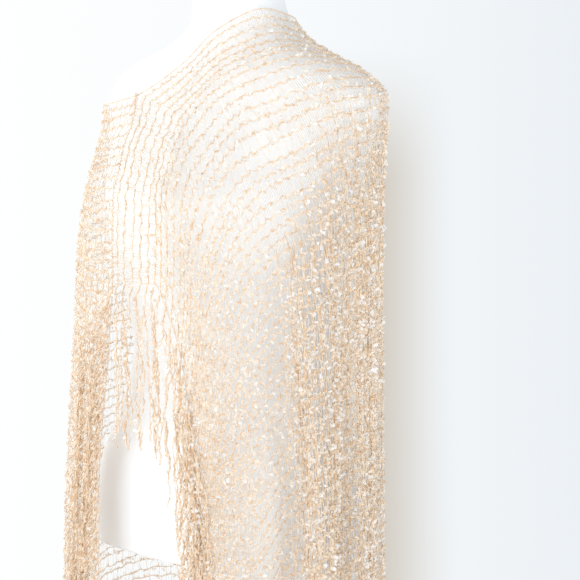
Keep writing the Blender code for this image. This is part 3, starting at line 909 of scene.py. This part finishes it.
def tumbled_frames(random, along, outward, lift_range, size_range):
    """Turned and scaled frames for tabs: each points some way in the cloth's plane and lifts off it."""
    count = len(along)
    side = np.cross(outward, along)
    heading = random.uniform(0.0, 2.0 * math.pi, count)[:, None]
    lift = random.uniform(*lift_range, count)[:, None]
    level = along * np.cos(heading) + side * np.sin(heading)
    pointing = unit(level * np.cos(lift) + outward * np.sin(lift))
    facing = unit(outward - pointing * np.sum(outward * pointing, axis=1, keepdims=True))
    roll = random.normal(0.0, PETAL_ROLL, count)[:, None]
    facing = facing * np.cos(roll) + np.cross(pointing, facing) * np.sin(roll)
    wide = np.cross(pointing, facing)
    size = random.uniform(*size_range, count)[:, None, None]
    return np.stack((wide, pointing, facing), axis=2) * size


def petal_tones(random, count, white, middle):
    """Cream and apricot tones about a middle, some pale gold, and a share of bright white, partly painted
    glints.
    """
    tones = np.clip(random.normal(middle, TONE_SPREAD, count), 0.0, 1.0)
    return np.where(random.uniform(size=count) < white, 1.0, tones)


def make_petals(stretch):
    """The petals on every row of a stretch."""
    random = np.random.default_rng(stretch["seed"] + 1)
    shares, lines = [], []
    for k, line in enumerate(row_lines):
        share = places_along(stretch, line, PETAL_SPACING, random)
        shares.append(share)
        hang = PETAL_HANG * random.normal(*HANG_SHARES, len(share))
        lines.append(np.clip(line + row_waves(stretch, k, share) + hang, 0.0, CLOTH_WIDTH))
    share, line = np.concatenate(shares), np.concatenate(lines)
    turn, height = np.moveaxis(stretch["place"](share, line), -1, 0)
    outward = cloth_normal(turn, height)
    origins = cloth_point(turn, height) + outward * PETAL_OUT
    ahead = lay(stretch["place"], np.clip(share + PETAL_REACH, 0.0, 1.0), line)
    along = unit(ahead - lay(stretch["place"], np.clip(share - PETAL_REACH, 0.0, 1.0), line))
    frames = tumbled_frames(random, along, outward, lift_range=(0.0, 0.4), size_range=(0.6, 1.15))
    tones = petal_tones(random, len(share), white=0.05, middle=0.43)
    return scatter(stretch["name"] + "_petals", petal, origins, frames, tones, satin)


def petals_along(name, paths, spacing, random, white=0.05, middle=0.50):
    """Tabs caught at random places along loose yarns."""
    origins, along = [], []
    for path in paths:
        length = float(np.sum(np.linalg.norm(np.diff(path, axis=0), axis=1)))
        for spot in random.integers(1, len(path) - 1, int(length / spacing)):
            origins.append(path[spot])
            along.append(path[spot + 1] - path[spot - 1])
    origins, along = np.array(origins), unit(np.array(along))
    outward = unit(origins * np.array((1.0, 1.0, 0.0)))
    outward = unit(outward - along * np.sum(outward * along, axis=1, keepdims=True))
    frames = tumbled_frames(random, along, outward, lift_range=(0.0, 0.5), size_range=(0.55, 1.1))
    tones = petal_tones(random, len(origins), white, middle)
    frames = frames * np.where(tones == 1.0, WHITE_GLINT_SIZE, 1.0)[:, None, None]
    return scatter(name, petal, origins, frames, tones, satin)


for stretch in (FRONT, BACK):
    cloth_pieces[stretch["name"]].append(make_petals(stretch))


# Pleats: where the cloth is gathered its folded edges run down from below the shoulder to the hem, each
# a line of yarn from one row to the next with its petals. They lie among the rows and just under them.
PLEAT_DEPTH = 0.002
PLEAT_RISE = 0.001
PLEAT_STEP = 0.005
PLEAT_START = (-0.05, 0.10)
PLEAT_PETALS = 0.0075
PLEAT_STRAY = ((0.0020, 0.045), (0.0016, 0.011), (0.0009, 0.004))
PLEAT_YARN = {"front": gold_thread, "back": ribbon_yarn}


def pleat_paths(stretch):
    """The folded edges as yarns across the rows, each with its own place, stray and start."""
    random = np.random.default_rng(stretch["seed"] + 7)
    made = []
    for centre, spread, count, start in stretch["pleats"]:
        for middle in centre + spread * random.standard_normal(count):
            first = start + random.uniform(*PLEAT_START)
            across = np.linspace(first, CLOTH_WIDTH, int((CLOTH_WIDTH - first) / PLEAT_STEP))
            stray = ripples(across, PLEAT_STRAY, random.uniform(0.0, 2.0 * math.pi, 3))
            share = np.clip(abs(middle) + stray / stretch["row"], 0.0, 1.0)
            made.append(lay(stretch["place"], share, across, random.uniform(-PLEAT_DEPTH, PLEAT_RISE)))
    return made


for stretch in (FRONT, BACK):
    name = stretch["name"] + "_pleat"
    paths = pleat_paths(stretch)
    random = np.random.default_rng(stretch["seed"] + 9)
    edges = threads(name + "_edges", paths, YARN_RADIUS, PLEAT_YARN[stretch["name"]])
    # The pleats' tabs are paler and more often white than the rows': painted light shining through the
    # folds and painted glints on them
    tabs = petals_along(name + "_petals", paths, PLEAT_PETALS, random, white=0.35, middle=0.65)
    cloth_pieces[stretch["name"]] += [edges, tabs]


# Edges: each long edge and each short end is held by a doubled yarn.
EDGE_RADIUS = 0.00045
END_RADIUS = 0.00035
PLY_OUT = 0.8
PLY_POINTS = 5.0


def wound_edge(name, place, first, last, count, radius):
    """A doubled edge yarn: two threads twisted together from one place on the cloth to another."""
    share = np.linspace(first[0], last[0], count)
    across = np.linspace(first[1], last[1], count)
    paths = []
    for start in (0.0, math.pi):
        twist = 2.0 * math.pi * np.arange(count) / PLY_POINTS + start
        lifted = lay(place, share, across, radius * PLY_OUT * np.sin(twist))
        lifted[:, 2] += radius * PLY_OUT * np.cos(twist)
        paths.append(lifted)
    return threads(name, paths, radius, ribbon_yarn)


low_corner = (1.0, CLOTH_WIDTH)
cloth_pieces["front"] += [
    wound_edge("front_neck_edge", front_place, (0.0, 0.0), (NECK_SHARE, 0.0), 160, EDGE_RADIUS),
    wound_edge("front_hem_edge", front_place, (0.0, CLOTH_WIDTH), low_corner, 220, END_RADIUS),
    wound_edge("front_end_edge", front_place, (1.0, 0.0), low_corner, 420, END_RADIUS),
]
cloth_pieces["back"] += [
    wound_edge("back_neck_edge", back_place, (0.0, 0.0), (1.0, 0.0), 280, EDGE_RADIUS),
    wound_edge("back_hem_edge", back_place, (0.0, CLOTH_WIDTH), low_corner, 420, END_RADIUS),
    wound_edge("back_end_edge", back_place, (1.0, SEAM_LENGTH), low_corner, 300, END_RADIUS),
]


# Seam: the short end of the back overcast to the front's long edge with the same yarn, from the knot
# down to where the two short ends part.
STITCH_PITCH = 0.0052
STITCH_REACH = 0.0016
STITCH_FLATNESS = 0.7
STITCH_RADIUS = 0.00032
STITCH_POINTS = 320
SEAM_POINTS = 46
SEAM_LIFT = 0.0004
seam_share = np.linspace(NECK_SHARE, 1.0, SEAM_POINTS)
seam_line = lay(front_place, seam_share, np.zeros(SEAM_POINTS), SEAM_LIFT)
seam_fine = np.linspace(NECK_SHARE, 1.0, STITCH_POINTS)
seam_turn = 2.0 * math.pi * np.linspace(0.0, SEAM_LENGTH, STITCH_POINTS) / STITCH_PITCH
seam_middle = lay(front_place, seam_fine, np.zeros(STITCH_POINTS))
seam_way = unit(np.gradient(seam_middle, axis=0))
seam_spots = front_place(seam_fine, np.zeros(STITCH_POINTS))
seam_out = cloth_normal(seam_spots[:, 0], seam_spots[:, 1])
seam_side = np.cross(seam_way, seam_out)
over = seam_out * np.cos(seam_turn)[:, None] * STITCH_FLATNESS
stitches = seam_middle + STITCH_REACH * (over + seam_side * np.sin(seam_turn)[:, None])
seam = threads("seam_overcast", [stitches, seam_line], STITCH_RADIUS, ribbon_yarn)
seam_tabs = petals_along("seam_petals", [seam_line], PETAL_SPACING, np.random.default_rng(41))
cloth_pieces["front"] += [seam, seam_tabs]

# Knot: the two corners tied together at the top of the seam, a small tangle of the doubled yarn with
# its two short ends.
KNOT_SIZE = 0.0026
KNOT_RADIUS = 0.0005
KNOT_OUT = 0.002
KNOT_POINTS = 90
TAIL_POINTS = 8
TAILS = ((-0.004, -0.006, -0.016), (0.004, -0.008, -0.012))
knot_middle = seam_middle[0] + seam_out[0] * KNOT_OUT
turns = np.linspace(0.0, 2.0 * math.pi, KNOT_POINTS)
tangle = np.stack((np.sin(turns) + 2.0 * np.sin(2.0 * turns), np.cos(turns) - 2.0 * np.cos(2.0 * turns),
                   -np.sin(3.0 * turns)), axis=1) * (KNOT_SIZE / 3.0)
knot_frame = np.stack((seam_side[0], seam_way[0], seam_out[0]), axis=1)
tails = [knot_middle + np.outer(np.linspace(0.0, 1.0, TAIL_POINTS), tail) for tail in TAILS]
knot = threads("corner_knot", [knot_middle + tangle @ knot_frame.T] + tails, KNOT_RADIUS, ribbon_yarn)
cloth_pieces["front"].append(knot)


# Fringe: the rows' own yarn ends, left 175 mm long beyond each short end, each with its gold thread
# and its petals. On the slanting end they hang in a cascade over the cloth's face.
FRINGE_LENGTH = 0.175
LENGTH_SHARES = (0.90, 1.02)
FRINGE_ROOT_OUT = 0.0024
JUST_INSIDE = 0.985
CLEAR_OF_CLOTH = 0.0048
# Shares of the strand by which it has left the cloth, has settled and has leant all its way
LEAVING = 0.05
SETTLED = 0.2
FANNED = 0.40
STRAND_SCATTER = 0.005
STRAND_POINTS = 48
STRAND_SWAY = ((0.0022, 0.021), (0.0011, 0.0052))
STRAND_SWING = ((0.0012, 0.017), (0.0006, 0.005))
WINDING_POINTS = 90
LOOSE_PETALS = 0.008
# How far the ends of one row lean aside, on the front's slanting end and on the back
FRONT_LEANS = (0.014, -0.010, 0.001)
BACK_LEANS = (-0.062, -0.034)
# Where the front's end turns from level to slanting, and how slanting it is when a third end hangs
SLANT_START = 0.06
SLANT_RUN = 0.12
SLANT_THIRD = 0.3


def strand_path(root, sideways, length, random):
    """One yarn end: out over the cloth's face, then straight down with a lean and small waves."""
    drop = np.linspace(0.0, 1.0, STRAND_POINTS)
    reach = math.hypot(root[0], root[1])
    turn = math.degrees(math.atan2(root[1], root[0]))
    phase = random.uniform(0.0, 2.0 * math.pi, 4)
    fallen = drop * length
    sway = ripples(fallen, STRAND_SWAY, phase)
    swing = ripples(fallen, STRAND_SWING, phase[2:])
    aside = sideways * smooth_step(drop / FANNED) + sway * smooth_step(drop / SETTLED)
    out = (CLEAR_OF_CLOTH + swing) * smooth_step(drop / LEAVING)
    path = cloth_point(turn + np.degrees(aside / reach), root[2] - fallen, out)
    path[0] = root
    return path


def fringe_strands(place, first, leans, seed):
    """All the yarn ends of one short end; each row's end splits into a few that lean their own way."""
    random = np.random.default_rng(seed)
    paths = []
    for k in range(int((CLOTH_WIDTH - first) / ROW_PITCH)):
        across = np.array((first + FIRST_ROW + ROW_PITCH * k,))
        root = lay(place, np.ones(1), across)[0]
        before = lay(place, np.full(1, JUST_INSIDE), across)[0]
        root = root + unit(root - before) * FRINGE_ROOT_OUT
        for sideways in leans(float(across[0])):
            length = FRINGE_LENGTH * random.uniform(*LENGTH_SHARES)
            paths.append(strand_path(root, sideways + random.normal(0.0, STRAND_SCATTER), length, random))
    return paths


def front_leans(across):
    """Ends fall beside the short end and over the cloth's face; on the level stretch straight down."""
    steep = float(smooth_step((across - SLANT_START) / SLANT_RUN))
    left, right, straight = FRONT_LEANS
    leans = (left * steep, right * steep, straight)
    return leans if steep > SLANT_THIRD else leans[:2]


def wound_round(path):
    """The gold strip wound round one loose yarn."""
    places = np.linspace(0.0, 1.0, WINDING_POINTS)
    marks = np.linspace(0.0, 1.0, len(path))
    fine = np.stack([np.interp(places, marks, column) for column in path.T], axis=1)
    twist = places[:, None] * 2.0 * math.pi * FRINGE_LENGTH / GOLD_TWIST
    outward = unit(fine * np.array((1.0, 1.0, 0.0)))
    side = np.cross(outward, np.array((0.0, 0.0, 1.0)))
    return fine + GOLD_LIFT * (outward * np.cos(twist) + side * np.sin(twist))


def make_fringe(side, place, first, leans, seed):
    """One short end's fringe, from a place across the cloth to its last row."""
    name = side + "_fringe_yarn"
    paths = fringe_strands(place, first, leans, seed)
    wound = [wound_round(path) for path in paths]
    strands = threads(name + "_strands", paths, YARN_RADIUS, ribbon_yarn)
    winding = threads(name + "_gold", wound, 0.0, gold_thread, GOLD_HALF_WIDTH)
    tabs = petals_along(name + "_petals", paths, LOOSE_PETALS, np.random.default_rng(seed + 5))
    wear(strands, "fringe", side + "_fringe")
    wear(winding, "fringe")
    wear(tabs, "fringe")
    return [strands, winding, tabs]


front_fringe = make_fringe("front", front_place, 0.0, front_leans, seed=31)
back_fringe = make_fringe("back", back_place, SEAM_LENGTH, lambda across: BACK_LEANS, seed=37)

for group in cloth_pieces.values():
    for piece in group:
        wear(piece, "cloth")
